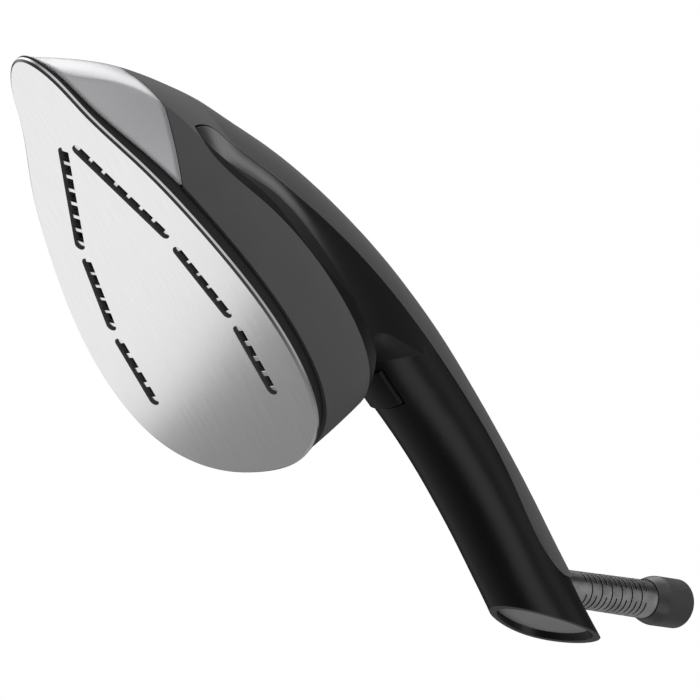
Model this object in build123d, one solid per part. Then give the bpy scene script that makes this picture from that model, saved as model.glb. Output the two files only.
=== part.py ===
"""Head of a steam station iron in separate pieces. Millimetres, +X to the nose, +Z up from the soleplate."""

import os
from math import atan2, cos, degrees, radians, sin, tan

from build123d import *

# Driving sizes of the soleplate and the head
SOLE_LENGTH = 190.0
SOLE_WIDTH = 100.0
SOLE_THICKNESS = 3.1
SOLE_EDGE_BEVEL = 0.8
SOLE_OUTSET = 0.5
BAND_TOP = 8.4
BAND_NOSE_TOP = 4.4
BAND_INSET = 1.4
BAND_WIDTH = 4.0
LEAN_TOP = 48.0
WALL_LEAN = 0.15
HEEL_SWEEP = 0.37
BARREL = 0.9

# Driving sizes of the slanted tail, the hose sleeve and its cuff
TAIL_START = (-227.6, 0, 77.8)
TAIL_ANGLE = 33.8
RECESS_DEPTH = 2.5
END_PLATE_THICKNESS = 2.0
SLEEVE_ROOT = (-247.5, 0, 114.0)
SLEEVE_ANGLE = 45.0
SLEEVE_RADIUS = 7.6
SLEEVE_END_RADIUS = 8.4
SLEEVE_PLUG = 9.0
SLEEVE_LENGTH = 57.0
SLEEVE_BORE = 4.8
SLIT_ROWS = 13
SLIT_START = 8.0
SLIT_PITCH = 3.4
SLIT_WIDTH = 0.9
SLIT_DEPTH = 1.7
SLIT_BRIDGE = 5.0
CUFF_RADIUS = 10.8
CUFF_LENGTH = 24.0
SOCKET_RADIUS = 6.5
SOCKET_DEPTH = 18.0

# Walls and fits
WALL = 2.5
NECK_WALL = 4.5
SEAM = 0.3
CAP_SEAM = 0.45
SEAT = 0.05
FIT = 0.25
RUN = 0.6

# Steam openings: ends of the rows on one side, number of holes
SLOT_ROWS = [((55.5, 3.6), (15.2, 22.3), 7), ((7.3, 23.8), (-22, 30.4), 5), ((-29.8, 31.1), (-57.9, 31), 4)]
SLOT_WIDTH = 4.6
SLOT_RUN_OUT = 2.0
SLOT_DEPTH = 2.2
STEAM_HOLE_LENGTH = 4.4
STEAM_HOLE_WIDTH = 4.2
STEAM_HOLE_CORNER = 0.8

# Heater casting, steam chamber and its cover
CASTING_INSET = 6.6
CASTING_NOSE = 80.0
CASTING_TOP = 12.0
CASTING_FLOOR = 8.0
CHANNEL_WIDTH = 6.6
CHANNEL_DEPTH = 2.5
RISER_RADIUS = 3.0
CHAMBER_SHARE = 0.52
CHAMBER_TOP = 18.0
CHAMBER_WALL = 3.6
RIB_PLACES = [-38, -24, 8, 20]
RIB_THICKNESS = 2.0
RIB_LENGTH = 34.0
PLAN_CENTRE = -12.0
GASKET_THICKNESS = 1.0
COVER_THICKNESS = 1.5
CHAMBER_SCREW_POINTS = (3, 5, 6)

# Heating element: one side of its horseshoe from the heel to the nose
ELEMENT_SIDE = [(-60, 28), (-15, 31.5), (28, 16.5), (58, 3.5)]
ELEMENT_RADIUS = 4.0
ELEMENT_PIN = 1.6
ELEMENT_PIN_HEIGHT = 10.0

# Screws, their bosses and the ears of the heat band
SCREW_RADIUS = 1.5
SCREW_HEAD_RADIUS = 2.8
SCREW_HEAD = 1.8
SCREW_SLOT = 0.8
BAND_SCREWS = [(28, 27.3), (-50, 42.0)]
EAR_RADIUS = 4.6
EAR_THICKNESS = 2.4
BOSS_RADIUS = 4.4
BOSS_TOP = 21.0
POST_RADIUS = 3.4
POST_HOLE = 5.0

# Sheet over the heater and the electrical pieces
SHIELD_HEIGHT = 24.0
SHIELD_THICKNESS = 1.0
WIRE_HOLE_RADIUS = 4.0
TERMINAL_PLACE = (-52, 0)
TERMINAL_SIZE = (26, 20, 11)
TERMINAL_HOLE_RADIUS = 2.0
TERMINAL_PITCH = 6.0
THERMOSTAT_PLACE = (-70, 9)
THERMOSTAT_RADIUS = 10.0
THERMOSTAT_HEIGHT = 5.0
THERMOSTAT_CAP = 6.5
BLADE_SIZE = (6, 0.8, 6)
FUSE_PLACE = (-70, -14)
FUSE_RADIUS = 2.6
FUSE_LENGTH = 13.0
FUSE_CLIP = (18, 8, 1.2)
FUSE_LEAD_RADIUS = 0.7
FUSE_LEAD_LENGTH = 22.0

# Trigger, its pin, its spring and the switch above it, measured from the pin
PIN_PLACE = (-103.5, 81.0)
PIN_RADIUS = 1.5
PIN_LENGTH = 23.0
TRIGGER_HALF_WIDTH = 8.0
TRIGGER_LENGTH = 18.3
TRIGGER_FRONT = 1.0
TRIGGER_FRONT_GAP = 0.35
TRIGGER_NOSE = 2.6
TRIGGER_TOP = 84.5
TRIGGER_PROUD = 1.3
EYE_BASE = 78.4
SPRING_BACK = 4.9
SPRING_ARM = 2.4
SPRING_BEND = 0.8
SPRING_WIDTH = 5.0
SPRING_LEAF = 0.4
BRIDGE_BASE = 93.0
BRIDGE_SIZE = (5.4, 40, 3)
PLUNGER_BACK = 13.5
PLUNGER_RADIUS = 1.8
PLUNGER_GAP = 0.4
PLUNGER_DEPTH = 4.0
SWITCH_BASE = 88.5
SWITCH_HEIGHT = 10.0
SWITCH_LENGTH = 17.0
SWITCH_HALF_WIDTH = 3.5
SWITCH_FRONT = 5.5
PEG_RADIUS = 1.5
PEG_LENGTH = 7.0
PEG_BACK = 7.0
PEG_HEIGHT = 6.0
CHEEK_SIZE = (6, 20, 9)

# Steam elbow, steam tube, conductors and the clamp that holds them in the tail
ELBOW_PLACE = (-5.0, 0)
ELBOW_RADIUS = 3.0
ELBOW_BORE = 2.0
ELBOW_BEND = 42.0
ELBOW_BEND_RADIUS = 8.0
ELBOW_ARM = 24.0
FLANGE_RADIUS = 7.0
FLANGE_THICKNESS = 1.5
TUBE_RADIUS = 4.2
TUBE_HOLD = 8.0
TUBE_LEAD = 12.0
TUBE_ROUTE = [(-80, -7, 98.5), (-140, -8, 106), (-205, -8, 105), (-236, -5, 101)]
CLIP_PLACES = (0.015, 0.985)
CLIP_WIDTH = 4.0
CLIP_THICKNESS = 1.0
LOOM_RADIUS = 2.6
LOOM_ROUTE = [(-76, 8, 84), (-104, 8, 103), (-205, 8, 105), (-236, 5, 102)]
LOOM_RISE = 20.0
CLAMP_X = -220.0
CLAMP_BASE = 98.5
CLAMP_HEIGHT = 9.5
CLAMP_WIDTH = 8.0

# The plan of one side, nose to heel, as drawn for a soleplate of 190 x 100
LENGTHWAYS = SOLE_LENGTH / 190.0
SIDEWAYS = SOLE_WIDTH / 100.0
NOSE_X = 95.0
SOLE_SIDE = [
    (NOSE_X, 0), (88.5, 8.6), (70, 16.3), (45, 28.4), (10, 41.4),
    (-45, 50), (-80, 38.8), (-92, 21), (-95, 0),
]
SWEPT_SHARE = [0, 0, 0, 0, 0, 0, 0.55, 0.9, 1]
NOSE_KEEP = 0.2

# The roof from nose to tail: x, ridge z, edge y, edge z, edge slope, crease y, crease z, scoop depth
ROOF = [
    (104, -10.5, 4, -13.5, 46, 7.5, -23, -0.6),
    (95, 3.2, 5, -0.3, 46, 9, -10, -0.6),
    (86, 15.8, 6, 11.5, 46, 11, 2, -0.7),
    (70, 35.6, 9, 30, 46, 16.4, 17.5, -0.8),
    (47.5, 55.2, 11, 49.5, 42, 25, 30.5, -1.3),
    (33, 65.0, 14, 56.5, 54, 31, 32, -0.6),
    (20, 72.6, 16, 57.5, 70, 34, 36, 0.6),
    (0, 83.6, 16.8, 66, 80, 36, 46, 1.2),
    (-25, 94.8, 16.8, 76.5, 86, 38.5, 50.5, 2.0),
    (-50, 103.4, 16.8, 85.5, 88, 42.5, 49.5, 3.5),
    (-75, 109.8, 16.8, 92.7, 90, 44, 45, 5.0),
    (-100, 114.2, 16.8, 97.7, 90, 36, 46, 4.0),
    (-130, 116.9, 16.8, 101.2, 90, 12, 72, 1.0),
    (-165, 117.9, 16.8, 102.6, 90, 20, 60, 1.0),
    (-200, 117.6, 16.8, 102, 90, 20, 60, 1.0),
    (-225, 116.5, 16.8, 100.5, 90, 20, 60, 1.0),
    (-265, 114.5, 16.8, 99.5, 90, 20, 60, 1.0),
]
LOWER_FLANK_SLOPE = 60.0
FLANK_RUN_OUT = 24.0
ROOF_FLOOR = -70.0

# The handle from the neck to the tail: x, top z, underside z, half width
HANDLE = [
    (-70, 100, 84, 11),
    (-98, 113.2, 74, 16.7),
    (-112, 115.2, 74.5, 17),
    (-130, 116.8, 76.8, 17),
    (-165, 117.8, 79.8, 17),
    (-200, 117.4, 79.2, 17),
    (-225, 116.3, 77.5, 17),
    (-240, 114.4, 76.6, 17.8),
    (-255, 112.0, 75.4, 20),
    (-272, 109.0, 74.2, 23.5),
    (-292, 107.5, 73.0, 27),
]

# The rear of the neck: height, rearmost x, radius seen from above; then how far its sides open out
NECK_REAR = [
    (25, -103, 52), (46, -103, 50), (57, -97, 37), (68, -97, 28),
    (78, -104, 22), (88, -116, 19), (100, -126, 17.5),
]
NECK_FLARE = (27, 20)

# Side view of the leaf-shaped opening of the grey shell: upper edge to the tail, lower edge to the heel
LEAF_TIP = (38.5, 35.5)
UPPER_EDGE = [(33, 45), (9.2, 60.6), (-30, 78.6), (-83, 94.6), (-132, 101.5), (-179, 102.5), (-224, 100.5)]
UPPER_EDGE_END = [(-233, 103.6), (-239, 111), (-241, 122), (-241.5, 135)]
LOWER_EDGE = [(34, 32.5), (4, 34.8), (-29, 39.5), (-67, 42.5), (-90, 45.5), (-115, 47.5)]

# Side view of the nose cap seam: foot on the heat band, corner at the shoulder, tongue on the ridge
CAP_FOOT = (30, BAND_TOP)
CAP_SHOULDER = (50.5, 30.5)
CAP_TONGUE = (69.5, 38.2)
CAP_CORNER_RADIUS = 4.0

ARCH_FULLNESS = 1.17


def inset_points(points, inset):
    """Points of one side of a plan outline, moved inwards by the inset."""
    side = side_curve(points)
    moved = []
    for x, y in points:
        direction = side.tangent_at(Vector(x, y))
        moved.append((x - inset * direction.Y, max(y + inset * direction.X, NOSE_KEEP * y)))
    return moved


def side_curve(points, inset=0.0):
    """One side of a plan outline, nose to heel, moved inwards by the inset."""
    if inset:
        points = inset_points(points, inset)
    return Spline(*points, tangents=[(0, 1), (0, -1)], tangent_scalars=[1, 1])


def closed(side):
    """Face between one side of a plan outline and its mirror image."""
    return make_face([side, mirror(side, Plane.XZ)])


def sole_points():
    """Plan points of one side at the real size."""
    return [(x * LENGTHWAYS, y * SIDEWAYS) for x, y in SOLE_SIDE]


def outline(inset=0.0, height=0.0):
    """Plan of the head at a height, leaning inwards at the sides and backwards at the heel."""
    rise = min(max(height, BAND_TOP), LEAN_TOP) - BAND_TOP
    share_up = rise / (LEAN_TOP - BAND_TOP)
    bulge = 4 * BARREL * share_up * (1 - share_up)
    points = []
    for (x, y), share in zip(sole_points(), SWEPT_SHARE):
        points.append((x - HEEL_SWEEP * share * rise, y))
    return Pos(0, 0, height) * closed(side_curve(points, inset + WALL_LEAN * rise - bulge))


def plate(inset, low, high):
    """Flat plate with the soleplate's plan."""
    return extrude(Pos(0, 0, low) * outline(inset), high - low)


def chamber_points():
    """Plan points of one side of the steam chamber, the soleplate's plan drawn smaller."""
    centre = PLAN_CENTRE * LENGTHWAYS
    return [(centre + (x - centre) * CHAMBER_SHARE, y * CHAMBER_SHARE) for x, y in sole_points()]


def chamber_plate(inset, low, high):
    """Flat plate with the steam chamber's plan."""
    return extrude(Pos(0, 0, low) * closed(side_curve(chamber_points(), inset)), high - low)


def room(inset=0.0, low=BAND_TOP):
    """Leaning walls of the head, open upwards to the handle."""
    walls = loft([outline(inset, height) for height in (low, (low + LEAN_TOP) / 2, LEAN_TOP)])
    upper = extrude(outline(inset, LEAN_TOP), 27)
    return walls + upper + Pos(-110 * LENGTHWAYS, 0, 110) * Box(330 * LENGTHWAYS, 80, 76)


def roof_section(row, inset):
    """Cross section of the roof at one station."""
    x, ridge, edge_y, edge_z, slope, crease_y, crease_z, scoop = row
    edge = Vector(edge_y - inset, edge_z - 0.3 * inset)
    crease = Vector(crease_y * SIDEWAYS - inset, crease_z - 0.5 * inset)
    fall = Vector(cos(radians(slope)), -sin(radians(slope)))
    fullness = [ARCH_FULLNESS, ARCH_FULLNESS]
    arch = Spline((0, ridge - inset), edge, tangents=[(1, 0), fall], tangent_scalars=fullness)
    chord = (crease - edge).normalized()
    flank = ThreePointArc(edge, (edge + crease) * 0.5 + Vector(chord.Y, -chord.X) * scoop, crease)
    fall = Vector(cos(radians(LOWER_FLANK_SLOPE)), -sin(radians(LOWER_FLANK_SLOPE)))
    foot = crease + fall * FLANK_RUN_OUT * SIDEWAYS
    rest = Polyline(crease, foot, (foot.X, ROOF_FLOOR), (0, ROOF_FLOOR))
    half = [arch, flank] + list(rest.edges())
    face = make_face(half + [mirror(curve, Plane.YZ) for curve in half])
    return Plane.YZ.offset(x * LENGTHWAYS) * face


def roof(inset=0.0):
    """Everything under the ridge and the flanks, from the nose to the tail."""
    return loft([roof_section(row, inset) for row in ROOF])


def handle_tube(inset=0.0):
    """Oval handle from inside the neck to beyond the tail."""
    sections = []
    for x, top, underside, half in HANDLE:
        oval = Ellipse(half - inset, (top - underside) / 2 - inset)
        sections.append(Plane.YZ.offset(x * LENGTHWAYS) * Pos(0, (top + underside) / 2) * oval)
    return loft(sections)


def neck_limit(inset=0.0):
    """Room that the neck may fill, round at its rear."""
    sections = []
    front = 80 * LENGTHWAYS
    for height, rear, round_radius in NECK_REAR:
        radius = round_radius * SIDEWAYS - inset
        centre = rear * LENGTHWAYS + inset + radius
        open_x = centre + NECK_FLARE[0]
        wide = radius + NECK_FLARE[1]
        arc = CenterArc((centre, 0), radius, 90, 180)
        rest = Polyline(arc @ 1, (open_x, -wide), (front, -wide), (front, wide), (open_x, wide), arc @ 0)
        sections.append(Pos(0, 0, height) * make_face([arc] + list(rest.edges())))
    return loft(sections)


def side_view(points):
    """Side view points at the real length."""
    return [(x * LENGTHWAYS, z) for x, z in points]


def leaf_region(gap=0.0, lower_gap=None):
    """Side view of what is black, as a slab across the whole width, smaller all round by the gap."""
    lower_gap = gap if lower_gap is None else lower_gap
    tip = (LEAF_TIP[0] * LENGTHWAYS - 3 * gap, LEAF_TIP[1])
    upper = Spline(tip, *[(x - gap, z - gap) for x, z in side_view(UPPER_EDGE + UPPER_EDGE_END)])
    lower = Spline(tip, *[(x, z + lower_gap) for x, z in side_view(LOWER_EDGE)])
    far = 340 * LENGTHWAYS
    back = Polyline(upper @ 1, (-far, 135), (-far, 20), ((lower @ 1).X, 20), lower @ 1)
    face = make_face([upper, lower] + list(back.edges()))
    return extrude(Plane.XZ * face, 80, both=True)


def tail_plane(depth=0.0):
    """Plane of the slanted end of the handle, moved into the handle by the depth."""
    slant = radians(TAIL_ANGLE)
    start = (TAIL_START[0] * LENGTHWAYS, TAIL_START[1], TAIL_START[2])
    end = Plane(start, x_dir=(-cos(slant), 0, sin(slant)), z_dir=(-sin(slant), 0, -cos(slant)))
    return end.offset(-depth)


def tail_slab(depth, thickness):
    """Slab along the slanted end, from the depth outwards."""
    return extrude(tail_plane(depth) * Rectangle(300, 120), thickness)


def sleeve_plane(along=0.0):
    """Plane across the hose sleeve at a distance from its root."""
    rise = radians(SLEEVE_ANGLE)
    root = (SLEEVE_ROOT[0] * LENGTHWAYS, SLEEVE_ROOT[1], SLEEVE_ROOT[2])
    return Plane(root, x_dir=(0, 1, 0), z_dir=(-cos(rise), 0, sin(rise))).offset(along)


def rod(radius, low, high, place=(0, 0)):
    """Upright round rod."""
    return Pos(place[0], place[1], low) * extrude(Circle(radius), high - low)


def both_sides(shape):
    """A shape on the left and its mirror image on the right."""
    return shape + mirror(shape, Plane.XZ)


def at_size(place):
    """A place drawn for a soleplate of 190 x 100, at the real length and width."""
    return (place[0] * LENGTHWAYS, place[1] * SIDEWAYS)


def pin_x(back=0.0):
    """Lengthways place of the trigger pin, or of something behind it."""
    return PIN_PLACE[0] * LENGTHWAYS - back


def bent_path(points):
    """Straight runs joined by arcs as large as the runs allow."""
    corners = [Vector(*point) for point in points]
    radii = []
    for before, here, after in zip(corners, corners[1:], corners[2:]):
        turn = radians((here - before).get_angle(after - here))
        shorter = min((here - before).length, (after - here).length)
        radii.append(0.45 * shorter / tan(turn / 2))
    return FilletPolyline(*corners, radius=radii)


def swept(path, radius, bore=0.0):
    """Round rod or pipe along a path."""
    start = Plane(path @ 0, z_dir=path % 0)
    solid = sweep(start * Circle(radius), path)
    return solid - sweep(start * Circle(bore), path) if bore else solid


def band_screw_places():
    """Places of the screws of the heat band on one side."""
    return [at_size(place) for place in BAND_SCREWS]


def clamp_place():
    """Place of the hose clamp's screw."""
    return at_size((CLAMP_X, 0))


def trigger_slot():
    """Opening of the handle for the trigger and, in front of it, the pocket of its hinge."""
    front = pin_x(TRIGGER_FRONT - TRIGGER_FRONT_GAP)
    rear = pin_x(TRIGGER_LENGTH + 2 * RUN)
    nose = pin_x(-TRIGGER_NOSE - RUN)
    width = 2 * (TRIGGER_HALF_WIDTH + RUN)
    top = SWITCH_BASE + 2
    slot = Pos((front + rear) / 2, 0, top - 20) * Box(front - rear, width, 40)
    low = EYE_BASE - RUN
    pocket = Pos((nose + rear) / 2, 0, (top + low) / 2) * Box(nose - rear, width, top - low)
    return slot + pocket


def grey_housing():
    """Grey shell and nose cap in one, before the cap is cut off."""
    outer = roof() & room(0, SOLE_THICKNESS) & over_band()
    inner = (roof(WALL) & room(WALL, BAND_TOP - 1)) + plate(2 * WALL, 0, BAND_TOP)
    return outer - inner - leaf_region()


def over_band(gap=0.0):
    """Everything above the upper edge of the heat band, which falls from the foot of the cap to the nose."""
    foot, nose = [Vector(x, z + gap) for x, z in side_view([CAP_FOOT, (NOSE_X, BAND_NOSE_TOP)])]
    front = nose + (nose - foot)
    far = 340 * LENGTHWAYS
    high = 2 * TAIL_START[2]
    edge = Polyline((-far, foot.Y), foot, front, (front.X, high), (-far, high), close=True)
    return extrude(Plane.XZ * make_face(edge.edges()), 80, both=True)


def cap_region(gap=0.0):
    """Side view of the nose cap, as a slab across the whole width, larger to the rear by the gap."""
    foot, shoulder, tongue = [Vector(x - gap, z) for x, z in side_view([CAP_FOOT, CAP_SHOULDER, CAP_TONGUE])]
    low = foot + (foot - shoulder) * 0.5
    high = tongue + (tongue - shoulder)
    front = 120 * LENGTHWAYS
    seam = FilletPolyline(low, shoulder, high, radius=CAP_CORNER_RADIUS)
    rest = Polyline(high, (front, high.Y), (front, low.Y), low)
    face = make_face(list(seam.edges()) + list(rest.edges()))
    return extrude(Plane.XZ * face, 80, both=True)


def nose_cap(housing):
    return housing & cap_region()


def body_shell(housing):
    shell = housing - cap_region(CAP_SEAM)
    for place in band_screw_places():
        boss = rod(BOSS_RADIUS, BAND_TOP, BOSS_TOP, place) & room(WALL / 2)
        shell = shell + both_sides(boss) - both_sides(rod(SCREW_RADIUS + SEAT, BAND_TOP, BOSS_TOP - 2, place))
    top = CLAMP_BASE + CLAMP_HEIGHT
    post = rod(POST_RADIUS, top + SEAT, 2 * top, clamp_place()) & roof(WALL / 2)
    shell = shell + post - rod(SCREW_RADIUS + SEAT, CLAMP_BASE, top + POST_HOLE, clamp_place())
    return shell - sleeve_rod(SLEEVE_RADIUS + FIT, -30, 30)


def handle_shell():
    tube = handle_tube()
    neck = roof() & room(SEAM, 20) & neck_limit()
    tongue = (room(WALL + FIT, 20) - room(NECK_WALL + SEAM, 18)) & roof(WALL + FIT) & neck_limit()
    hollow = roof(WALL) & room(NECK_WALL + SEAM, 18) & neck_limit(WALL)
    black = (neck + tube) & leaf_region(SEAM)
    black = black + (tongue & leaf_region(SEAM, -5) & Pos(0, 0, 25) * Box(400, 200, 60))
    black = black - hollow - handle_tube(WALL) - tail_slab(0, 200)
    black = black + switch_mounts() - trigger_slot() - pin_rod(SEAT)
    return black - sleeve_rod(SLEEVE_RADIUS + FIT, -30, 30)


def switch_mounts():
    """Bar above the trigger spring and the two cheeks that hold the switch."""
    inside = handle_tube(WALL / 2)
    bar = Pos(pin_x(SPRING_BACK), 0, BRIDGE_BASE + BRIDGE_SIZE[2] / 2) * Box(*BRIDGE_SIZE)
    side = SWITCH_HALF_WIDTH + FIT + CHEEK_SIZE[1] / 2
    cheek = Pos(pin_x(PLUNGER_BACK + PEG_BACK), side, SWITCH_BASE + PEG_HEIGHT) * Box(*CHEEK_SIZE)
    return (bar + both_sides(cheek) - switch_pegs(SEAT)) & inside


def pin_rod(play=0.0):
    """The trigger's hinge pin, or its hole with some play."""
    pin = Rot(90, 0, 0) * Cylinder(PIN_RADIUS + play, PIN_LENGTH + 2 * play)
    return Pos(pin_x(), 0, PIN_PLACE[1]) * pin


def sleeve_rod(radius, start, end):
    """Round rod along the hose sleeve."""
    return extrude(sleeve_plane(start) * Circle(radius), end - start)


def end_plate():
    return handle_tube(WALL + FIT) & tail_slab(RECESS_DEPTH + END_PLATE_THICKNESS, END_PLATE_THICKNESS)


def slot_line(start, end):
    """Start, run and angle of one row of steam openings at the real size."""
    first = Vector(*at_size(start))
    run = Vector(*at_size(end)) - first
    return first, run, degrees(atan2(run.Y, run.X))


def slot_bar(start, end, width, height):
    """Bar with round ends over one row of steam openings."""
    first, run, angle = slot_line(start, end)
    bar = extrude(SlotCenterToCenter(run.length - SLOT_WIDTH + 2 * SLOT_RUN_OUT, width), height)
    return Pos(*(first + run * 0.5)) * Rot(0, 0, angle) * bar


def soleplate():
    body = plate(-SOLE_OUTSET, 0, SOLE_THICKNESS)
    body = chamfer(body.faces().sort_by(Axis.Z)[0].edges(), SOLE_EDGE_BEVEL)
    hole = RectangleRounded(STEAM_HOLE_LENGTH, STEAM_HOLE_WIDTH, STEAM_HOLE_CORNER)
    hole = extrude(hole, SOLE_THICKNESS)
    for start, end, holes in SLOT_ROWS:
        cut = slot_bar(start, end, SLOT_WIDTH, SLOT_DEPTH)
        first, run, angle = slot_line(start, end)
        for number in range(holes):
            cut = cut + Pos(*(first + run * ((number + 0.5) / holes))) * Rot(0, 0, angle) * hole
        body = body - both_sides(cut)
    return body


def heat_band():
    base = SOLE_THICKNESS + SEAT
    ring = plate(BAND_INSET, base, BAND_TOP - SEAT) - plate(BAND_INSET + BAND_WIDTH, base, BAND_TOP)
    for place in band_screw_places():
        ear = rod(EAR_RADIUS, BAND_TOP - EAR_THICKNESS, BAND_TOP - SEAT, place)
        hole = rod(SCREW_RADIUS + FIT, base, BAND_TOP, place)
        head = rod(SCREW_HEAD_RADIUS + FIT, base, BAND_TOP - EAR_THICKNESS, place)
        ring = ring + both_sides(ear) - both_sides(hole + head)
    return ring - over_band(-SEAT)


def screw(place, seat, length, turned=False):
    """Round-headed screw with its head on the seat, pointing down, or up when turned."""
    way = 1 if turned else -1
    shank = Pos(0, 0, way * length / 2) * Cylinder(SCREW_RADIUS, length)
    head = Pos(0, 0, -way * SCREW_HEAD / 2) * Cylinder(SCREW_HEAD_RADIUS, SCREW_HEAD)
    slot = Pos(0, 0, -way * SCREW_HEAD) * Box(3 * SCREW_HEAD_RADIUS, SCREW_SLOT, SCREW_HEAD)
    return Pos(place[0], place[1], seat) * (shank + head - slot)


def band_screws():
    """Screws from the ears of the heat band up into the shell."""
    seat = BAND_TOP - EAR_THICKNESS - SEAT
    length = BOSS_TOP - 4 - seat
    places = [(x, side * y) for x, y in band_screw_places() for side in (1, -1)]
    return [screw(place, seat, length, turned=True) for place in places]


def element_path():
    """Horseshoe of the heating element, open at the heel."""
    side = [at_size(point) for point in ELEMENT_SIDE]
    points = side + [(x, -y) for x, y in reversed(side)]
    return bent_path([(x, y, CASTING_TOP) for x, y in points])


def element_groove():
    """Square groove that the heating element lies in, with round ends."""
    path = element_path()
    radius = ELEMENT_RADIUS + FIT
    across = Plane(path @ 0, x_dir=(0, 0, 1), z_dir=path % 0)
    groove = sweep(across * Rectangle(2 * radius, 2 * radius), path)
    for end in (path @ 0, path @ 1):
        groove = groove + rod(radius, CASTING_TOP - radius, CASTING_TOP + radius, (end.X, end.Y))
    return groove


def heating_element():
    path = element_path()
    element = swept(path, ELEMENT_RADIUS)
    for end in (path @ 0, path @ 1):
        element = element + rod(ELEMENT_PIN, CASTING_TOP, CASTING_TOP + ELEMENT_PIN_HEIGHT, (end.X, end.Y))
    return element


def chamber_screw_places():
    """Places of the screws in the wall of the steam chamber, on both sides."""
    middle = inset_points(chamber_points(), CHAMBER_WALL / 2)
    corners = [middle[index] for index in CHAMBER_SCREW_POINTS]
    return [(x, side * y) for x, y in corners for side in (1, -1)]


def chamber_ribs():
    """Ribs that the water runs around in the steam chamber."""
    high = CHAMBER_TOP - 1
    ribs = Part()
    for index, x in enumerate(RIB_PLACES):
        side = 1 if index % 2 else -1
        rib = Box(RIB_THICKNESS, RIB_LENGTH, high - CASTING_FLOOR + 1)
        ribs = ribs + Pos(x * LENGTHWAYS, side * 5, (high + CASTING_FLOOR - 1) / 2) * rib
    return ribs & chamber_plate(CHAMBER_WALL / 2, CASTING_FLOOR - 1, CHAMBER_TOP)


def heater_casting():
    base = SOLE_THICKNESS + SEAT
    body = plate(CASTING_INSET, base, CASTING_TOP) + chamber_plate(0, CASTING_FLOOR, CHAMBER_TOP)
    body = body - chamber_plate(CHAMBER_WALL, CASTING_FLOOR, CHAMBER_TOP) + chamber_ribs()
    body = body - element_groove()
    channels = Pos(0, 0, base) * Box(CHANNEL_WIDTH, 52 * SIDEWAYS, 2 * CHANNEL_DEPTH)
    for start, end, holes in SLOT_ROWS:
        channels = channels + both_sides(Pos(0, 0, base) * slot_bar(start, end, CHANNEL_WIDTH, CHANNEL_DEPTH))
    body = body - channels - rod(RISER_RADIUS, base, CASTING_FLOOR + 1)
    for place in band_screw_places():
        body = body - both_sides(rod(EAR_RADIUS + 1, 0, 2 * CASTING_TOP, place))
    for place in chamber_screw_places():
        body = body - rod(SCREW_RADIUS + SEAT, CASTING_FLOOR, CHAMBER_TOP, place)
    nose = Box(100 * LENGTHWAYS, SOLE_WIDTH, 4 * CASTING_TOP)
    return body - Pos((CASTING_NOSE + 50) * LENGTHWAYS, 0, 0) * nose


def chamber_gasket():
    low = CHAMBER_TOP + SEAT
    high = low + GASKET_THICKNESS
    ring = chamber_plate(0, low, high) - chamber_plate(CHAMBER_WALL, low, high)
    for place in chamber_screw_places():
        ring = ring - rod(SCREW_RADIUS + SEAT, low, high, place)
    return ring


def cover_top():
    """Upper face of the chamber cover."""
    return CHAMBER_TOP + GASKET_THICKNESS + COVER_THICKNESS + 2 * SEAT


def chamber_cover():
    low = cover_top() - COVER_THICKNESS
    lid = chamber_plate(0, low, cover_top()) - rod(ELBOW_BORE, low, cover_top(), ELBOW_PLACE)
    for place in chamber_screw_places():
        lid = lid - rod(SCREW_RADIUS + FIT, low, cover_top(), place)
    return lid


def chamber_screws():
    """Screws through the chamber cover into the casting."""
    seat = cover_top() + SEAT
    return [screw(place, seat, seat - CASTING_FLOOR - 1) for place in chamber_screw_places()]


def elbow_path():
    """Up from the chamber cover and slanting to the rear."""
    x, y = ELBOW_PLACE
    end = (x - ELBOW_ARM, y, ELBOW_BEND + ELBOW_ARM)
    return FilletPolyline((x, y, cover_top() + SEAT), (x, y, ELBOW_BEND), end, radius=ELBOW_BEND_RADIUS)


def steam_elbow():
    low = cover_top() + SEAT
    flange = rod(FLANGE_RADIUS, low, low + FLANGE_THICKNESS, ELBOW_PLACE)
    flange = flange - rod(ELBOW_RADIUS, low, low + FLANGE_THICKNESS, ELBOW_PLACE)
    return swept(elbow_path(), ELBOW_RADIUS, ELBOW_BORE) + flange


def tube_path():
    """Route of the steam tube, from its hold on the elbow to the hose clamp."""
    end = elbow_path() @ 1
    slant = elbow_path() % 1
    route = [(x * LENGTHWAYS, y, z) for x, y, z in TUBE_ROUTE]
    return bent_path([end - slant * TUBE_HOLD, end + slant * TUBE_LEAD] + route)


def steam_tube():
    return swept(tube_path(), TUBE_RADIUS, ELBOW_RADIUS + SEAT)


def tube_clips():
    """Spring clips around both ends of the steam tube."""
    path = tube_path()
    ring = Circle(TUBE_RADIUS + FIT + CLIP_THICKNESS) - Circle(TUBE_RADIUS + FIT)
    return [
        extrude(Plane(path @ place, z_dir=path % place) * ring, CLIP_WIDTH / 2, both=True)
        for place in CLIP_PLACES
    ]


def loom_path():
    """Route of the conductors, from the terminal block to the hose clamp."""
    x, y = at_size(TERMINAL_PLACE)
    low = SHIELD_HEIGHT + SHIELD_THICKNESS + TERMINAL_SIZE[2] + 2 * SEAT
    route = [(x * LENGTHWAYS, y, z) for x, y, z in LOOM_ROUTE]
    return bent_path([(x - 8, y + 3, low), (x - 8, y + 3, low + LOOM_RISE)] + route)


def wiring_loom():
    return swept(loom_path(), LOOM_RADIUS)


def terminal_block():
    x, y = at_size(TERMINAL_PLACE)
    low = SHIELD_HEIGHT + SHIELD_THICKNESS + SEAT
    high = low + TERMINAL_SIZE[2]
    block = Pos(x, y, (low + high) / 2) * Box(*TERMINAL_SIZE)
    block = fillet(block.edges().filter_by(Axis.Z), TERMINAL_HOLE_RADIUS)
    for step in (-1, 0, 1):
        block = block - rod(TERMINAL_HOLE_RADIUS, high - 4, high, (x + 7, y + step * TERMINAL_PITCH))
    return block


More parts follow.
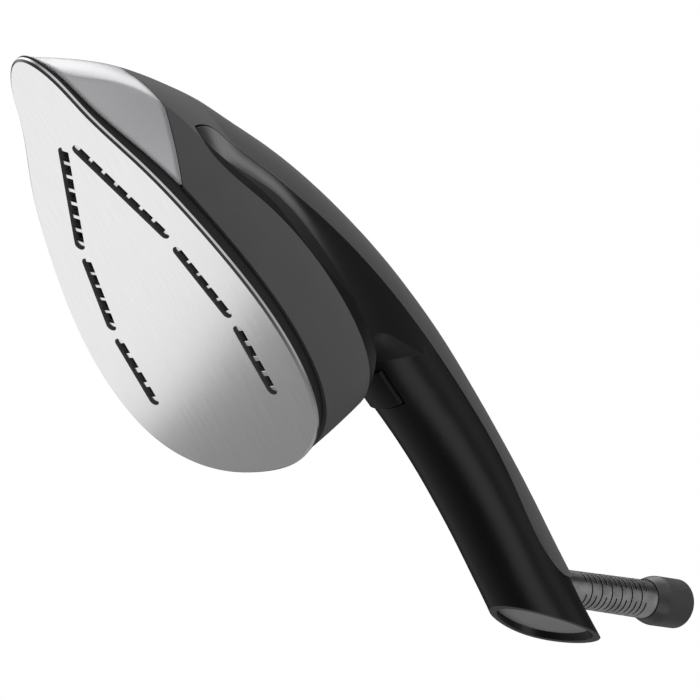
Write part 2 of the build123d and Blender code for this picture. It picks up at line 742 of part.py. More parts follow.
def thermostat():
    place = at_size(THERMOSTAT_PLACE)
    low = CASTING_TOP + SEAT
    high = low + THERMOSTAT_HEIGHT
    body = rod(THERMOSTAT_RADIUS, low, high, place) + rod(THERMOSTAT_CAP, high, high + 3, place)
    for side in (-1, 1):
        body = body + Pos(place[0], place[1] + side * 5, high + 2) * Box(*BLADE_SIZE)
    return body


def thermal_fuse():
    x, y = at_size(FUSE_PLACE)
    low = CASTING_TOP + SEAT
    lying = Pos(x, y, low + FUSE_CLIP[2] + FUSE_RADIUS - SEAT) * Rot(0, 90, 0)
    clip = Pos(x, y, low + FUSE_CLIP[2] / 2) * Box(*FUSE_CLIP)
    leads = Cylinder(FUSE_LEAD_RADIUS, FUSE_LEAD_LENGTH)
    return clip + lying * Cylinder(FUSE_RADIUS, FUSE_LENGTH) + lying * leads


def heat_shield():
    sheet = extrude(outline(WALL + FIT, SHIELD_HEIGHT), SHIELD_THICKNESS) & roof(WALL + FIT)
    sheet = sheet - rod(ELBOW_RADIUS + RUN, 0, 2 * SHIELD_HEIGHT, ELBOW_PLACE)
    x, y = at_size(TERMINAL_PLACE)
    for side in (-1, 1):
        sheet = sheet - rod(WIRE_HOLE_RADIUS, 0, 2 * SHIELD_HEIGHT, (x - 18, y + side * 12))
    return sheet


def trigger():
    rear = pin_x(TRIGGER_LENGTH)
    front = pin_x(TRIGGER_FRONT)
    nose = pin_x(-TRIGGER_NOSE)
    low = TRIGGER_TOP - 30
    profile = Polyline(
        (rear, low), (front, low), (front, EYE_BASE), (nose, EYE_BASE + 1), (nose, PIN_PLACE[1] + 1.5),
        (pin_x(2.5), TRIGGER_TOP), (rear, TRIGGER_TOP), close=True,
    )
    block = extrude(Plane.XZ * make_face(profile.edges()), TRIGGER_HALF_WIDTH, both=True)
    return (block & handle_tube(-TRIGGER_PROUD)) - pin_rod(SEAM)


def trigger_pin():
    return pin_rod()


def trigger_spring():
    low = TRIGGER_TOP + SPRING_LEAF / 2 + 2 * SEAT
    high = BRIDGE_BASE - SPRING_LEAF / 2 - 2 * SEAT
    front = pin_x(SPRING_BACK - SPRING_ARM)
    rear = pin_x(SPRING_BACK + SPRING_ARM)
    bent = FilletPolyline((front, high), (rear, high), (front, low), (rear, low), radius=SPRING_BEND)
    return extrude(Plane.XZ * trace(bent, SPRING_LEAF), SPRING_WIDTH / 2, both=True)


def switch_pegs(play=0.0):
    """Pegs that hold the switch in the cheeks, or their holes with some play."""
    pegs = Rot(90, 0, 0) * Cylinder(PEG_RADIUS + play, 2 * (SWITCH_HALF_WIDTH + PEG_LENGTH + play))
    return Pos(pin_x(PLUNGER_BACK + PEG_BACK), 0, SWITCH_BASE + PEG_HEIGHT) * pegs


def microswitch():
    middle = pin_x(PLUNGER_BACK - SWITCH_FRONT + SWITCH_LENGTH / 2)
    case = Box(SWITCH_LENGTH, 2 * SWITCH_HALF_WIDTH, SWITCH_HEIGHT)
    case = Pos(middle, 0, SWITCH_BASE + SWITCH_HEIGHT / 2) * case + switch_pegs()
    hole = rod(PLUNGER_RADIUS + SEAM, SWITCH_BASE, SWITCH_BASE + 2 * PLUNGER_DEPTH, (pin_x(PLUNGER_BACK), 0))
    return case - hole


def switch_plunger():
    tip = TRIGGER_TOP + PLUNGER_GAP + PLUNGER_RADIUS
    place = (pin_x(PLUNGER_BACK), 0)
    stem = rod(PLUNGER_RADIUS, tip, SWITCH_BASE + PLUNGER_DEPTH, place)
    return stem + Pos(*place, tip) * Sphere(PLUNGER_RADIUS)


def hose_clamp():
    bar = Pos(*clamp_place(), CLAMP_BASE + CLAMP_HEIGHT / 2) * Box(CLAMP_WIDTH, 80, CLAMP_HEIGHT)
    bar = bar & handle_tube(WALL + FIT)
    bar = bar - swept(tube_path(), TUBE_RADIUS + FIT) - swept(loom_path(), LOOM_RADIUS + FIT)
    return bar - rod(SCREW_RADIUS + FIT, CLAMP_BASE, CLAMP_BASE + CLAMP_HEIGHT, clamp_place())


def clamp_screw():
    return screw(clamp_place(), CLAMP_BASE - SEAT, CLAMP_HEIGHT + POST_HOLE - 1, turned=True)


def strain_relief():
    start = sleeve_plane(-SLEEVE_PLUG) * Circle(SLEEVE_RADIUS)
    end = sleeve_plane(SLEEVE_LENGTH) * Circle(SLEEVE_END_RADIUS)
    sleeve = loft([start, end]) - sleeve_rod(SLEEVE_BORE, -SLEEVE_PLUG, SLEEVE_LENGTH)
    ring = Circle(2 * SLEEVE_RADIUS) - Circle(SLEEVE_RADIUS - SLIT_DEPTH)
    for row in range(SLIT_ROWS):
        bridge = Rot(0, 0, 90 * (row % 2)) * Rectangle(4 * SLEEVE_RADIUS, SLIT_BRIDGE)
        sleeve = sleeve - extrude(sleeve_plane(SLIT_START + row * SLIT_PITCH) * (ring - bridge), SLIT_WIDTH)
    return sleeve


def hose_cuff():
    base = SLEEVE_LENGTH + SEAT
    far = base + CUFF_LENGTH
    neck = Spline(
        (SLEEVE_END_RADIUS + 0.4, base), (CUFF_RADIUS, base + 8),
        tangents=[(0.3, 1), (0, 1)], tangent_scalars=[1, 1],
    )
    rest = Polyline(
        neck @ 1, (CUFF_RADIUS, far - 1.5), (CUFF_RADIUS - 1.5, far), (SOCKET_RADIUS, far),
        (SOCKET_RADIUS, far - SOCKET_DEPTH), (SLEEVE_BORE, far - SOCKET_DEPTH), (SLEEVE_BORE, base), neck @ 0,
    )
    profile = Plane.XZ * make_face([neck] + list(rest.edges()))
    return sleeve_plane().location * revolve(profile, Axis.Z)


def pieces():
    """All pieces by name."""
    housing = grey_housing()
    made = {"body_shell": body_shell(housing), "nose_cap": nose_cap(housing)}
    for piece in (
        soleplate, heat_band, handle_shell, end_plate, strain_relief, hose_cuff,
        heater_casting, heating_element, chamber_gasket, chamber_cover, steam_elbow,
        steam_tube, thermostat, thermal_fuse, heat_shield, terminal_block, wiring_loom,
        trigger, trigger_pin, trigger_spring, microswitch, switch_plunger, hose_clamp, clamp_screw,
    ):
        made[piece.__name__] = piece()
    for name, repeated in (
        ("band_screw", band_screws()), ("chamber_screw", chamber_screws()), ("tube_clip", tube_clips()),
    ):
        for number, shape in enumerate(repeated, start=1):
            made[f"{name}_{number}"] = shape
    return made


os.makedirs("parts", exist_ok=True)
for name, shape in pieces().items():
    export_step(shape, f"parts/{name}.step")
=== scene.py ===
"""Looks of the steam station iron's head: finishes, floor, light and camera. Metres."""

import math

import bmesh
import bpy
from mathutils import Matrix, Vector


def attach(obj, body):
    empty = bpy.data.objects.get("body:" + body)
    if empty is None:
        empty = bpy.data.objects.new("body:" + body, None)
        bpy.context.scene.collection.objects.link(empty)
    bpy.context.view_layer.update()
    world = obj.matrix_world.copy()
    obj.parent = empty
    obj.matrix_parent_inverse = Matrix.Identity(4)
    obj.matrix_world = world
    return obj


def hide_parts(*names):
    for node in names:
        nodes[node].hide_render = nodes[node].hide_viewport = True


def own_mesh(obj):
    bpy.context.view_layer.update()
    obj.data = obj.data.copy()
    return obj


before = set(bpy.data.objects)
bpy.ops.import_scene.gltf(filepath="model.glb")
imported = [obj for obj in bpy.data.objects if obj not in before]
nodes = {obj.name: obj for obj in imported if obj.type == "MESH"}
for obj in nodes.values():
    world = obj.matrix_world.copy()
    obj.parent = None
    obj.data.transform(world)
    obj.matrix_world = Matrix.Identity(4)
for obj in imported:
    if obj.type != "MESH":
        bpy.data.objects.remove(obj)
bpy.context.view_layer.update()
scene = bpy.context.scene
MM = 0.001

# Camera of the photograph, below the soleplate's side of the nose
CAMERA_PLACE = (0.49825, 0.94806, -0.82233)
CAMERA_AIM = (-0.08049, 0.01890, 0.05649)
CAMERA_ROLL = 39.56
CAMERA_LENS = 186.156
CAMERA_SENSOR = 36
CAMERA_NEAREST = 0.01

# Rows of steam openings on one side: first end, last end and number of openings, in millimetres
STEAM_ROWS = [
    ((55.5, 3.6), (15.2, 22.3), 7),
    ((7.3, 23.8), (-22, 30.4), 5),
    ((-29.8, 31.1), (-57.9, 31), 4),
]
STEAM_SLOT_WIDTH = 4.6
STEAM_SLOT_DEPTH = 2.2
STEAM_SLOT_INSET = 0.3
STEAM_HOLE_LENGTH = 4.4

# Steel bridges between the openings, in millimetres
BRIDGE_DEPTH = 1.15
BRIDGE_ROUNDING = 0.3
BRIDGE_PLAY = 0.05
RAMP_TIP_DEPTH = 0.85
LAND_ARC_STEPS = 12

# Painted shade on the walls of the steam slots and on the plate's upper rim, and where each fades in
SLOT_SHADE_REACH = 0.3 * MM
SLOT_SHADE_FADE = 0.3 * MM
SLOT_SHADE_HEIGHT = (0.02 * MM, 0.1 * MM)
RIM_SHADE_HEIGHT = (1.8 * MM, 1.9 * MM)
UPRIGHT_FACING = (0.6, 0.3)

# Seam behind the silver cap in the side view, on the side of the grey shell, whose wall there gets painted
# shade, in millimetres
CAP_SEAM_LINE = [(29.55, 8.4), (50.05, 30.5), (69.05, 38.2)]
CAP_SEAM_REACH = 0.25
CAP_SEAM_FADE = 0.15
SEAM_WALL_FACING = (0.7, 0.5)

# How round the edges look, in millimetres, and how far a surface turns where an edge shows
PLASTIC_EDGE = 0.35
METAL_EDGE = 0.3
BRIDGE_EDGE = 0.1
CAP_EDGE = 3.5
RUBBER_EDGE = 0.4
EDGE_TURN = (0.02, 0.25)
EDGE_SAMPLES = 4

# Wear on the edges of plastic and rubber: how much of it shows, and how many times paler it is
PLASTIC_WEAR = 0.12
PLASTIC_WEAR_PALER = 1.5
RUBBER_WEAR = 0.5
RUBBER_WEAR_PALER = 1.7

# How far colours wander: the clouds in plastic either way, the bloom on rubber, the dull spots on metal
PLASTIC_CLOUDING = 0.02
RUBBER_BLOOM = (0.9, 1.15)
METAL_DULLNESS = 0.72

# Finishes of sole, cap and rubber: roughness, depth of their marks in millimetres, metal, coat and sheen
SOLE_ROUGH = 0.17
SOLE_DARK_ROUGHER = 0.4
SOLE_HAIR_DEPTH = 0.0003
CAP_ROUGH = 0.34
CAP_METALLIC = 0.85
CAP_FLAKE_DEPTH = 0.003
CAP_CLEAR_COAT = {"Coat_Weight": 0.4, "Coat_Roughness": 0.12}
RUBBER_ROUGH = 0.55
RUBBER_SKIN_DEPTH = 0.02
RUBBER_SHEEN = 0.1

# Colours of the metals; two where the colour wanders
SOLE_STEELS = ((0.79, 0.79, 0.795, 1), (0.82, 0.82, 0.82, 1))
CAP_SILVERS = ((0.58, 0.575, 0.60, 1), (0.70, 0.695, 0.72, 1))
BRIDGE_STEEL = (0.8, 0.8, 0.805, 1)
SLEEVE_METAL = (0.56, 0.56, 0.565, 1)
CAST_ALUMINIUM = (0.55, 0.55, 0.56, 1)
SHEET_ALUMINIUM = (0.7, 0.7, 0.71, 1)
ELEMENT_STEEL = (0.36, 0.34, 0.32, 1)
TURNED_STEEL = (0.55, 0.55, 0.56, 1)
ELBOW_BRASS = (0.65, 0.47, 0.2, 1)
FUSE_METAL = (0.6, 0.58, 0.55, 1)

# Screen levels of the painted shade over a finish: in the seam behind the cap, on the walls of the steam
# slots and on the plate's upper rim
SEAM_SHADE_LEVEL = 4
SLOT_SHADE_LEVEL = 105
RIM_SHADE_LEVEL = 20

# Floor just under the soleplate, which fades out between two distances
FLOOR_PAPERS = ((0.86, 0.86, 0.86, 1), (0.9, 0.9, 0.9, 1))
FLOOR_REACH = 3.0
FLOOR_GAP = 0.3 * MM
FLOOR_FADE = (0.35, 1.0)

# Light on matt surfaces, and the dark of the room that shiny pieces mirror, as shares of white
EVEN_LIGHT = 0.42
ROOM_DARK = 0.03

# Pale cards in that room: share of white, then along which axes and between which directions each comes in
STUDIO_CARDS = {
    "nose_card": (0.25, [("X", -0.1, 0.1), ("Z", 0.25, 0.65)]),
    "nose_back_card": (1.4, [("X", -0.1, 0.1), ("Z", 0.25, 0.65), ("Y", 0.4, -0.2)]),
    "front_wall": (0.4, [("Y", 0.4, 0.7), ("Z", 0.1, 0.5)]),
    "low_front_card": (1.1, [("Y", 0.4, 0.7), ("Z", 0.2, -0.1), ("Z", -0.75, -0.35)]),
    "tail_card": (0.24, [("X", -0.55, -0.85)]),
    "low_back_card": (0.25, [("Y", 0.3, -0.8), ("Z", 0.2, -0.2)]),
}

# Round soft boxes: place, the point that each faces, width, watts, and whether shiny pieces mirror it
SOFT_BOXES = {
    "leaf_box": ((-0.27, -0.36, 1.1), (0.02, 0.02, 0.05), 0.24, 0.17, True),
    "sky_box": ((-0.17, 0.36, 1.19), (-0.05, 0, 0.05), 0.8, 12, False),
    "plate_box": ((0.010, -0.444, -0.269), (0.02, 0, 0), 0.6, 0.66, True),
}


class Wire:
    """One output of a node: sums on it add Math nodes, and make() adds any other node."""

    def __init__(self, tree, socket=None):
        self.tree = tree
        self.socket = socket

    def make(self, kind, settings=None, sockets=None, out=0):
        node = self.tree.nodes.new("ShaderNode" + kind)
        for name, value in (settings or {}).items():
            setattr(node, name, value)
        for name, value in (sockets or {}).items():
            if isinstance(value, Wire):
                self.tree.links.new(value.socket, node.inputs[name])
            else:
                node.inputs[name].default_value = value
        return Wire(self.tree, node.outputs[out] if node.outputs else None)

    def outputs(self):
        return self.socket.node.outputs

    def math(self, operation, *values):
        return self.make("Math", {"operation": operation}, dict(enumerate(values)))

    def __add__(self, other):
        return self.math("ADD", self, other)

    def __sub__(self, other):
        return self.math("SUBTRACT", self, other)

    def __rsub__(self, other):
        return self.math("SUBTRACT", other, self)

    def __mul__(self, other):
        return self.math("MULTIPLY", self, other)

    def __truediv__(self, other):
        return self.math("DIVIDE", self, other)

    __radd__ = __add__
    __rmul__ = __mul__

    def step(self, low, high):
        """0 below low, 1 above high, smooth between; falling when low is above high."""
        limits = {"Value": self, "From Min": low, "From Max": high}
        return self.make("MapRange", {"interpolation_type": "SMOOTHSTEP"}, limits)

    def swing(self, reach):
        """A noise's value about its middle, over this reach in all."""
        return (self - 0.5) * reach

    def noise(self, spots, detail=2.0, stretch=(1, 1, 1)):
        """Noise over the piece, with about this many spots in a metre."""
        place = self.make("TexCoord", out="Object")
        place = self.make("Mapping", {}, {"Vector": place, "Scale": stretch})
        return self.make("TexNoise", {}, {"Vector": place, "Scale": spots, "Detail": detail})

    def mix(self, first, second):
        """First colour where this is 0, second where it is 1."""
        return self.make("Mix", {"data_type": "RGBA"}, {0: self, 6: first, 7: second}, out=2)

    def tint(self, first, second, fade=(0.35, 0.7)):
        """First colour in a noise's low spots, second in its high ones."""
        return self.step(*fade).mix(first, second)


def grey(level, warmth=0.0):
    """Colour from a screen level of 0 to 255, a little warm or cool."""
    share = level / 255
    linear = share / 12.92 if share < 0.04045 else ((share + 0.055) / 1.055) ** 2.4
    return (linear * (1 + warmth), linear, linear * (1 - warmth), 1)


def empty_nodes(block):
    """Clears the nodes of a new material or world, and gives the wire that makes its own."""
    block.use_nodes = True
    block.node_tree.nodes.clear()
    return Wire(block.node_tree)


def new_finish(name):
    """Empty material and the wire that makes its nodes."""
    material = bpy.data.materials.new(name)
    return material, empty_nodes(material)


def worn_edges(wire, radius):
    """Normal that rounds the edges by a radius in millimetres, and how much of an edge is there."""
    rounded = wire.make("Bevel", {"samples": EDGE_SAMPLES}, {"Radius": radius * MM})
    straight = wire.make("NewGeometry", out="Normal")
    along = wire.make("VectorMath", {"operation": "DOT_PRODUCT"}, {0: rounded, 1: straight}, out="Value")
    return rounded, (1 - along).step(*EDGE_TURN)


def lay_on(wire, colour, roughness, height, depth, rounded=None, **constants):
    """Closes a material with its colour, its roughness and its bump, of a depth in millimetres."""
    bump = {"Height": height, "Distance": depth * MM, "Strength": 1.0}
    if rounded:
        bump["Normal"] = rounded
    sockets = {"Base Color": colour, "Roughness": roughness, "Normal": wire.make("Bump", {}, bump)}
    sockets.update({name.replace("_", " "): value for name, value in constants.items()})
    shader = wire.make("BsdfPrincipled", {}, sockets)
    wire.make("OutputMaterial", {}, {"Surface": shader})


def coordinates(wire, system):
    """The three coordinates of a place, or of a direction, in one of the coordinate systems."""
    place = wire.make("SeparateXYZ", {}, {"Vector": wire.make("TexCoord", out=system)})
    return [Wire(wire.tree, output) for output in place.outputs()]


def line_distance(wire, first, second, start, end):
    """Distance in metres from a line between two points, over two coordinates."""
    run = (Vector(end) - Vector(start)) * MM
    first = first - start[0] * MM
    second = second - start[1] * MM
    along = (first * run.x + second * run.y) / run.length_squared
    along = wire.math("MINIMUM", wire.math("MAXIMUM", along, 0.0), 1.0)
    far_first = first - along * run.x
    far_second = second - along * run.y
    return wire.math("SQRT", far_first * far_first + far_second * far_second)


def facing(wire, axis):
    """How squarely the surface faces along an axis, either way."""
    normal = wire.make("NewGeometry", out="Normal")
    return wire.math("ABSOLUTE", wire.make("SeparateXYZ", {}, {"Vector": normal}, out=axis))


def cap_seam_shade(wire):
    """Mask of the wall of the grey shell in the seam behind the silver cap, where shade is painted
    near-black.
    """
    x, _, z = coordinates(wire, "Object")
    near = 0.0
    for start, end in zip(CAP_SEAM_LINE, CAP_SEAM_LINE[1:]):
        away = line_distance(wire, x, z, start, end)
        near = away.step((CAP_SEAM_REACH + CAP_SEAM_FADE) * MM, CAP_SEAM_REACH * MM) + near
    return wire.math("MINIMUM", near, 1.0) * facing(wire, "Y").step(*SEAM_WALL_FACING)


def sole_walls(wire):
    """Masks of the upright walls of the steam slots, and of the upper half of the plate's rim, which both
    get painted shade.
    """
    x, y, z = coordinates(wire, "Object")
    side = wire.math("ABSOLUTE", y)
    reach = STEAM_SLOT_WIDTH / 2 * MM + SLOT_SHADE_REACH
    inside = 0.0
    for start, end, _ in STEAM_ROWS:
        away = line_distance(wire, x, side, start, end)
        inside = away.step(reach + SLOT_SHADE_FADE, reach) + inside
    upright = facing(wire, "Z").step(*UPRIGHT_FACING)
    # Painted shade: the slot walls above the plate's face, and the upper half of the rim outside the slots
    slot_shade = inside * z.step(*SLOT_SHADE_HEIGHT) * upright
    rim_shade = (1 - inside) * z.step(*RIM_SHADE_HEIGHT) * upright
    return slot_shade, rim_shade


def moulded_plastic(name, level, rough, grain, warmth=0.0, shine=0.5, painted_shade_walls=None):
    """Moulded plastic with faint cloudiness, paler, smoother edges and spark-eroded grain, and near-black
    painted shade on walls that a mask picks.

    The level is a screen level, and the grain has a size and a depth in millimetres.
    """
    material, wire = new_finish(name)
    grain_size, grain_depth = grain
    rounded, edges = worn_edges(wire, PLASTIC_EDGE)
    clouds = wire.noise(spots=60, detail=3)
    pits = wire.noise(spots=1 / (grain_size * MM))
    darker = grey(level * (1 - PLASTIC_CLOUDING), warmth)
    paler = grey(level * (1 + PLASTIC_CLOUDING), warmth)
    colour = clouds.tint(darker, paler, fade=(0.2, 0.8))
    colour = (edges * PLASTIC_WEAR).mix(colour, grey(level * PLASTIC_WEAR_PALER, warmth))
    if painted_shade_walls:
        # Painted shade: the walls that the mask picks turn near-black
        colour = painted_shade_walls(wire).mix(colour, grey(SEAM_SHADE_LEVEL))
    roughness = rough + clouds.swing(0.04) + pits.swing(0.1) - edges * 0.08
    lay_on(wire, colour, roughness, pits, grain_depth, rounded, Specular_IOR_Level=shine)
    return material


def bare_metal(name, colour, rough, depth, stretch=(1, 1, 1), edge=METAL_EDGE):
    """Bare metal with drawn or cast texture, of a depth in millimetres, and a duller, spotted skin."""
    material, wire = new_finish(name)
    rounded, edges = worn_edges(wire, edge)
    spots = wire.noise(spots=140, detail=4)
    skin = wire.noise(spots=2500, detail=3, stretch=stretch)
    dull = tuple(part * METAL_DULLNESS for part in colour[:3]) + (1,)
    tone = spots.tint(colour, dull, fade=(0.35, 0.75))
    roughness = rough + spots.swing(0.2) + skin.swing(0.15) - edges * 0.1
    lay_on(wire, tone, roughness, skin, depth, rounded, Metallic=1.0)
    return material


def sole_steel():
    """Polished steel with fine marks lengthways, grey painted shade on the walls of the steam slots and
    near-black painted shade on the upper rim.
    """
    material, wire = new_finish("sole_steel")
    grind = wire.noise(spots=900, detail=3, stretch=(0.06, 1, 1))
    hair = wire.noise(spots=5000, stretch=(0.012, 1, 1))
    clouds = wire.noise(spots=22)
    slot_shade, rim_shade = sole_walls(wire)
    dark = slot_shade + rim_shade
    # Painted shade, rougher and not metallic: grey on the slot walls, near-black on the upper rim
    colour = slot_shade.mix(grind.tint(*SOLE_STEELS, fade=(0.3, 0.7)), grey(SLOT_SHADE_LEVEL))
    colour = rim_shade.mix(colour, grey(RIM_SHADE_LEVEL))
    roughness = SOLE_ROUGH + clouds.swing(0.03) + grind.swing(0.03) + hair.swing(0.03)
    roughness = roughness + dark * SOLE_DARK_ROUGHER
    lay_on(wire, colour, roughness, hair, SOLE_HAIR_DEPTH, Metallic=1 - dark)
    return material


def silver_cap():
    """Silver paint with fine flakes under a clear coat."""
    material, wire = new_finish("silver_cap")
    rounded, _ = worn_edges(wire, CAP_EDGE)
    flakes = wire.noise(spots=6000, detail=1)
    clouds = wire.noise(spots=50)
    colour = flakes.tint(*CAP_SILVERS)
    roughness = CAP_ROUGH + flakes.swing(0.1) + clouds.swing(0.06)
    constants = {"Metallic": CAP_METALLIC, **CAP_CLEAR_COAT}
    lay_on(wire, colour, roughness, flakes, CAP_FLAKE_DEPTH, rounded, **constants)
    return material


def soft_rubber(name, level):
    """Matt rubber with a dusty bloom and polished high spots."""
    material, wire = new_finish(name)
    rounded, edges = worn_edges(wire, RUBBER_EDGE)
    bloom = wire.noise(spots=220, detail=4)
    skin = wire.noise(spots=4000)
    colour = bloom.tint(*[grey(level * share) for share in RUBBER_BLOOM])
    colour = (edges * RUBBER_WEAR).mix(colour, grey(level * RUBBER_WEAR_PALER))
    roughness = RUBBER_ROUGH + bloom.swing(0.25) - edges * 0.12
    lay_on(wire, colour, roughness, skin, RUBBER_SKIN_DEPTH, rounded, Sheen_Weight=RUBBER_SHEEN)
    return material


def coat(finish, *names):
    """Puts a finish on pieces of the model."""
    for name in names:
        for slot in nodes[name].material_slots:
            slot.material = finish


def finish_outside():
    """Finishes of the pieces that show from outside."""
    coat(sole_steel(), "soleplate")
    coat(silver_cap(), "nose_cap")
    # The shell's wall in the seam behind the cap gets near-black painted shade
    shell = moulded_plastic(
        "anthracite_shell", level=80, rough=0.64, grain=(0.45, 0.05), painted_shade_walls=cap_seam_shade
    )
    handle = moulded_plastic("black_handle", level=23, rough=0.3, grain=(0.5, 0.0015), shine=0.3)
    band = moulded_plastic("black_heat_band", level=22, rough=0.5, grain=(0.4, 0.02))
    plate = moulded_plastic("grey_end_plate", level=138, rough=0.5, grain=(0.4, 0.03))
    trigger = moulded_plastic("black_trigger", level=20, rough=0.4, grain=(0.4, 0.01), shine=0.3)
    sleeve = bare_metal("metallised_sleeve", SLEEVE_METAL, rough=0.24, depth=0.01)
    cuff = moulded_plastic("cuff_plastic", level=60, rough=0.34, grain=(0.4, 0.01))
    coat(shell, "body_shell")
    coat(handle, "handle_shell")
    coat(band, "heat_band")
    coat(plate, "end_plate")
    coat(trigger, "trigger")
    coat(sleeve, "strain_relief")
    coat(cuff, "hose_cuff")


def finish_inside():
    """Finishes of the pieces inside the shells, and of the screws and clips."""
    casting = bare_metal("cast_aluminium", CAST_ALUMINIUM, rough=0.5, depth=0.06)
    element = bare_metal("element_steel", ELEMENT_STEEL, rough=0.4, depth=0.02)
    sheet = bare_metal("sheet_aluminium", SHEET_ALUMINIUM, rough=0.35, depth=0.01, stretch=(0.03, 1, 1))
    elbow = bare_metal("elbow_brass", ELBOW_BRASS, rough=0.3, depth=0.01, stretch=(1, 1, 0.1))
    fuse = bare_metal("fuse_metal", FUSE_METAL, rough=0.3, depth=0.01, stretch=(0.1, 1, 1))
    turned = bare_metal("turned_steel", TURNED_STEEL, rough=0.3, depth=0.005, stretch=(1, 1, 0.05))
    switches = moulded_plastic("thermostat_plastic", level=60, rough=0.5, grain=(0.4, 0.02), warmth=0.2)
    terminals = moulded_plastic("terminal_plastic", level=190, rough=0.45, grain=(0.4, 0.02))
    plunger = moulded_plastic("plunger_plastic", level=170, rough=0.4, grain=(0.3, 0.01), warmth=0.3)
    clamp = moulded_plastic("clamp_plastic", level=70, rough=0.5, grain=(0.4, 0.02))
    coat(casting, "heater_casting")
    coat(element, "heating_element")
    coat(sheet, "chamber_cover", "heat_shield")
    coat(elbow, "steam_elbow")
    coat(fuse, "thermal_fuse")
    coat(switches, "thermostat", "microswitch")
    coat(terminals, "terminal_block")
    coat(plunger, "switch_plunger")
    coat(clamp, "hose_clamp")
    coat(soft_rubber("silicone_seal", level=120), "chamber_gasket")
    coat(soft_rubber("tube_silicone", level=150), "steam_tube")
    coat(soft_rubber("loom_rubber", level=40), "wiring_loom")
    fixings = [name for name in nodes if "screw" in name or "clip" in name]
    coat(turned, "trigger_pin", "trigger_spring", *fixings)


def bridge_outline(length):
    """Corners of the bridge between two openings, along and across the row."""
    half = STEAM_SLOT_WIDTH / 2 - BRIDGE_PLAY
    return [(-length / 2, -half), (length / 2, -half), (length / 2, half), (-length / 2, half)]


def end_outline(length):
    """Corners of the half-round land between the end of a slot and its last opening."""
    radius = STEAM_SLOT_WIDTH / 2 - BRIDGE_PLAY
    corners = [(length, -radius), (length, radius)]
    for step in range(LAND_ARC_STEPS + 1):
        angle = math.radians(90 + step * 180 / LAND_ARC_STEPS)
        corners.append((STEAM_SLOT_INSET + radius * math.cos(angle), radius * math.sin(angle)))
    return corners


def add_land(shape, corners, place, along, tip_depth=BRIDGE_DEPTH):
    """Adds one land to the mesh, with rounded edges; its tip may come nearer to the plate's face."""
    across = Vector((-along.y, along.x))
    first = min(corner[0] for corner in corners)
    last = max(corner[0] for corner in corners)
    rings = []
    for high in (False, True):
        ring = []
        for reach, side in corners:
            spot = place + along * reach + across * side
            share = (reach - first) / (last - first)
            depth = STEAM_SLOT_DEPTH if high else tip_depth + (BRIDGE_DEPTH - tip_depth) * share
            ring.append(shape.verts.new((spot.x * MM, spot.y * MM, depth * MM)))
        rings.append(ring)
    low, top = rings
    face = shape.faces.new(low)
    shape.faces.new(top[::-1])
    for index in range(len(low)):
        after = (index + 1) % len(low)
        shape.faces.new((low[after], low[index], top[index], top[after]))
    rounding = {"offset": BRIDGE_ROUNDING * MM, "segments": 3, "profile": 0.5, "affect": "EDGES"}
    bmesh.ops.bevel(shape, geom=list(face.edges), **rounding)


def steam_bridges():
    """Bright lands in the steam slots: between the openings, at the ends, and a ramp at the nose."""
    shape = bmesh.new()
    for number, (start, end, holes) in enumerate(STEAM_ROWS):
        for side in (1, -1):
            first = Vector((start[0], side * start[1]))
            run = Vector((end[0], side * end[1])) - first
            along = run.normalized()
            pitch = run.length / holes
            gap = pitch - STEAM_HOLE_LENGTH
            for hole in range(1, holes):
                add_land(shape, bridge_outline(gap), first + along * pitch * hole, along)
            land = end_outline(gap / 2)
            add_land(shape, land, first, along, BRIDGE_DEPTH if number else RAMP_TIP_DEPTH)
            add_land(shape, land, first + run, -along)
    bmesh.ops.recalc_face_normals(shape, faces=shape.faces)
    mesh = bpy.data.meshes.new("steam_bridges")
    shape.to_mesh(mesh)
    shape.free()
    bridges = bpy.data.objects.new("steam_bridges", mesh)
    scene.collection.objects.link(bridges)
    grind = {"stretch": (0.1, 1, 1), "edge": BRIDGE_EDGE}
    mesh.materials.append(bare_metal("bridge_steel", BRIDGE_STEEL, rough=0.16, depth=0.0005, **grind))
    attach(bridges, "iron")


def flexing_spring():
    """A copy of the trigger's bent leaf spring with a mesh of its own, fixed to the iron in place of the
    model's piece.
    """
    made = nodes["trigger_spring"]
    spring = bpy.data.objects.new("flexing_spring", made.data.copy())
    scene.collection.objects.link(spring)
    spring.matrix_world = made.matrix_world.copy()
    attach(spring, "iron")
    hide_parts("trigger_spring")
    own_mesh(spring)


def lay_floor():
    """Pale floor that shows the shadow from above and lets the camera see the soleplate from below."""
    material, wire = new_finish("pale_floor")
    colour = wire.noise(spots=8, detail=3).mix(*FLOOR_PAPERS)
    paper = wire.make("BsdfPrincipled", {}, {"Base Color": colour, "Specular IOR Level": 0.0})
    place = wire.make("TexCoord", out="Object")
    away = wire.make("VectorMath", {"operation": "LENGTH"}, {0: place}, out="Value")
    below = wire.make("NewGeometry", out="Backfacing")
    open_part = wire.math("MAXIMUM", below, away.step(*FLOOR_FADE))
    nothing = wire.make("BsdfTransparent")
    paper = wire.make("MixShader", {}, {0: open_part, 1: paper, 2: nothing})
    wire.make("OutputMaterial", {}, {"Surface": paper})
    mesh = bpy.data.meshes.new("floor")
    reach = FLOOR_REACH
    corners = [(-reach, -reach, 0), (reach, -reach, 0), (reach, reach, 0), (-reach, reach, 0)]
    mesh.from_pydata(corners, [], [(0, 1, 2, 3)])
    mesh.materials.append(material)
    floor = bpy.data.objects.new("floor", mesh)
    floor.location.z = -FLOOR_GAP
    floor.visible_shadow = False
    floor.visible_diffuse = False
    floor.visible_glossy = False
    scene.collection.objects.link(floor)


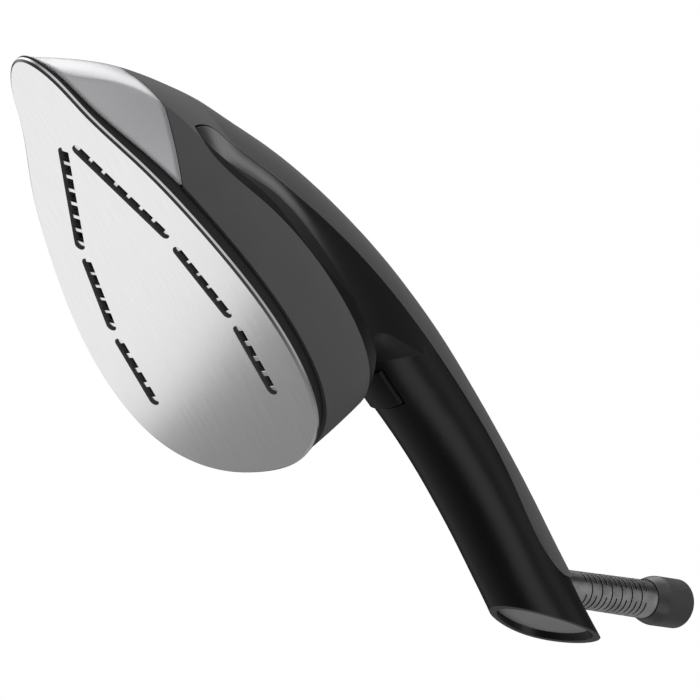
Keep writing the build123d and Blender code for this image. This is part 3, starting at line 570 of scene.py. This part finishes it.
def mirrored_room(wire):
    """Brightness, by direction, of the room that shiny pieces mirror."""
    direction = dict(zip("XYZ", coordinates(wire, "Generated")))
    room = ROOM_DARK
    for level, edges in STUDIO_CARDS.values():
        card = level
        for axis, low, high in edges:
            card = direction[axis].step(low, high) * card
        room = card + room
    return room


def light_world():
    """White behind the object, and a soft studio around it for the light."""
    world = bpy.data.worlds.new("studio")
    wire = empty_nodes(world)
    seen = wire.make("LightPath", out="Is Camera Ray") + wire.make("LightPath", out="Is Transmission Ray")
    mirrored = wire.make("LightPath", out="Is Glossy Ray")
    level = mirrored * mirrored_room(wire) + (1 - mirrored) * EVEN_LIGHT
    level = wire.math("MAXIMUM", level, seen)
    glow = wire.make("Background", {}, {"Color": (1, 1, 1, 1), "Strength": level})
    wire.make("OutputWorld", {}, {"Surface": glow})
    scene.world = world


def turn_to(place, aim):
    """Turn that points a lamp or a camera from its place at a point."""
    return (Vector(aim) - Vector(place)).to_track_quat("-Z", "Y")


def hang_soft_boxes():
    """Round soft boxes about the object, which the camera doesn't see."""
    for name, (place, aim, width, power, mirrored) in SOFT_BOXES.items():
        lamp = bpy.data.lights.new(name, "AREA")
        lamp.shape = "DISK"
        lamp.size = width
        lamp.energy = power
        box = bpy.data.objects.new(name, lamp)
        box.location = place
        box.rotation_euler = turn_to(place, aim).to_euler()
        box.visible_camera = False
        box.visible_glossy = mirrored
        scene.collection.objects.link(box)


def place_camera():
    """Camera where the photograph was taken."""
    camera = bpy.data.cameras.new("camera")
    camera.lens = CAMERA_LENS
    camera.sensor_width = CAMERA_SENSOR
    camera.clip_start = CAMERA_NEAREST
    stand = bpy.data.objects.new("camera", camera)
    look = turn_to(CAMERA_PLACE, CAMERA_AIM).to_matrix().to_4x4()
    roll = Matrix.Rotation(math.radians(CAMERA_ROLL), 4, "Z")
    stand.matrix_world = Matrix.Translation(CAMERA_PLACE) @ look @ roll
    scene.collection.objects.link(stand)
    scene.camera = stand


finish_outside()
finish_inside()
steam_bridges()
flexing_spring()
lay_floor()
light_world()
hang_soft_boxes()
place_camera()
scene.view_settings.view_transform = "Standard"
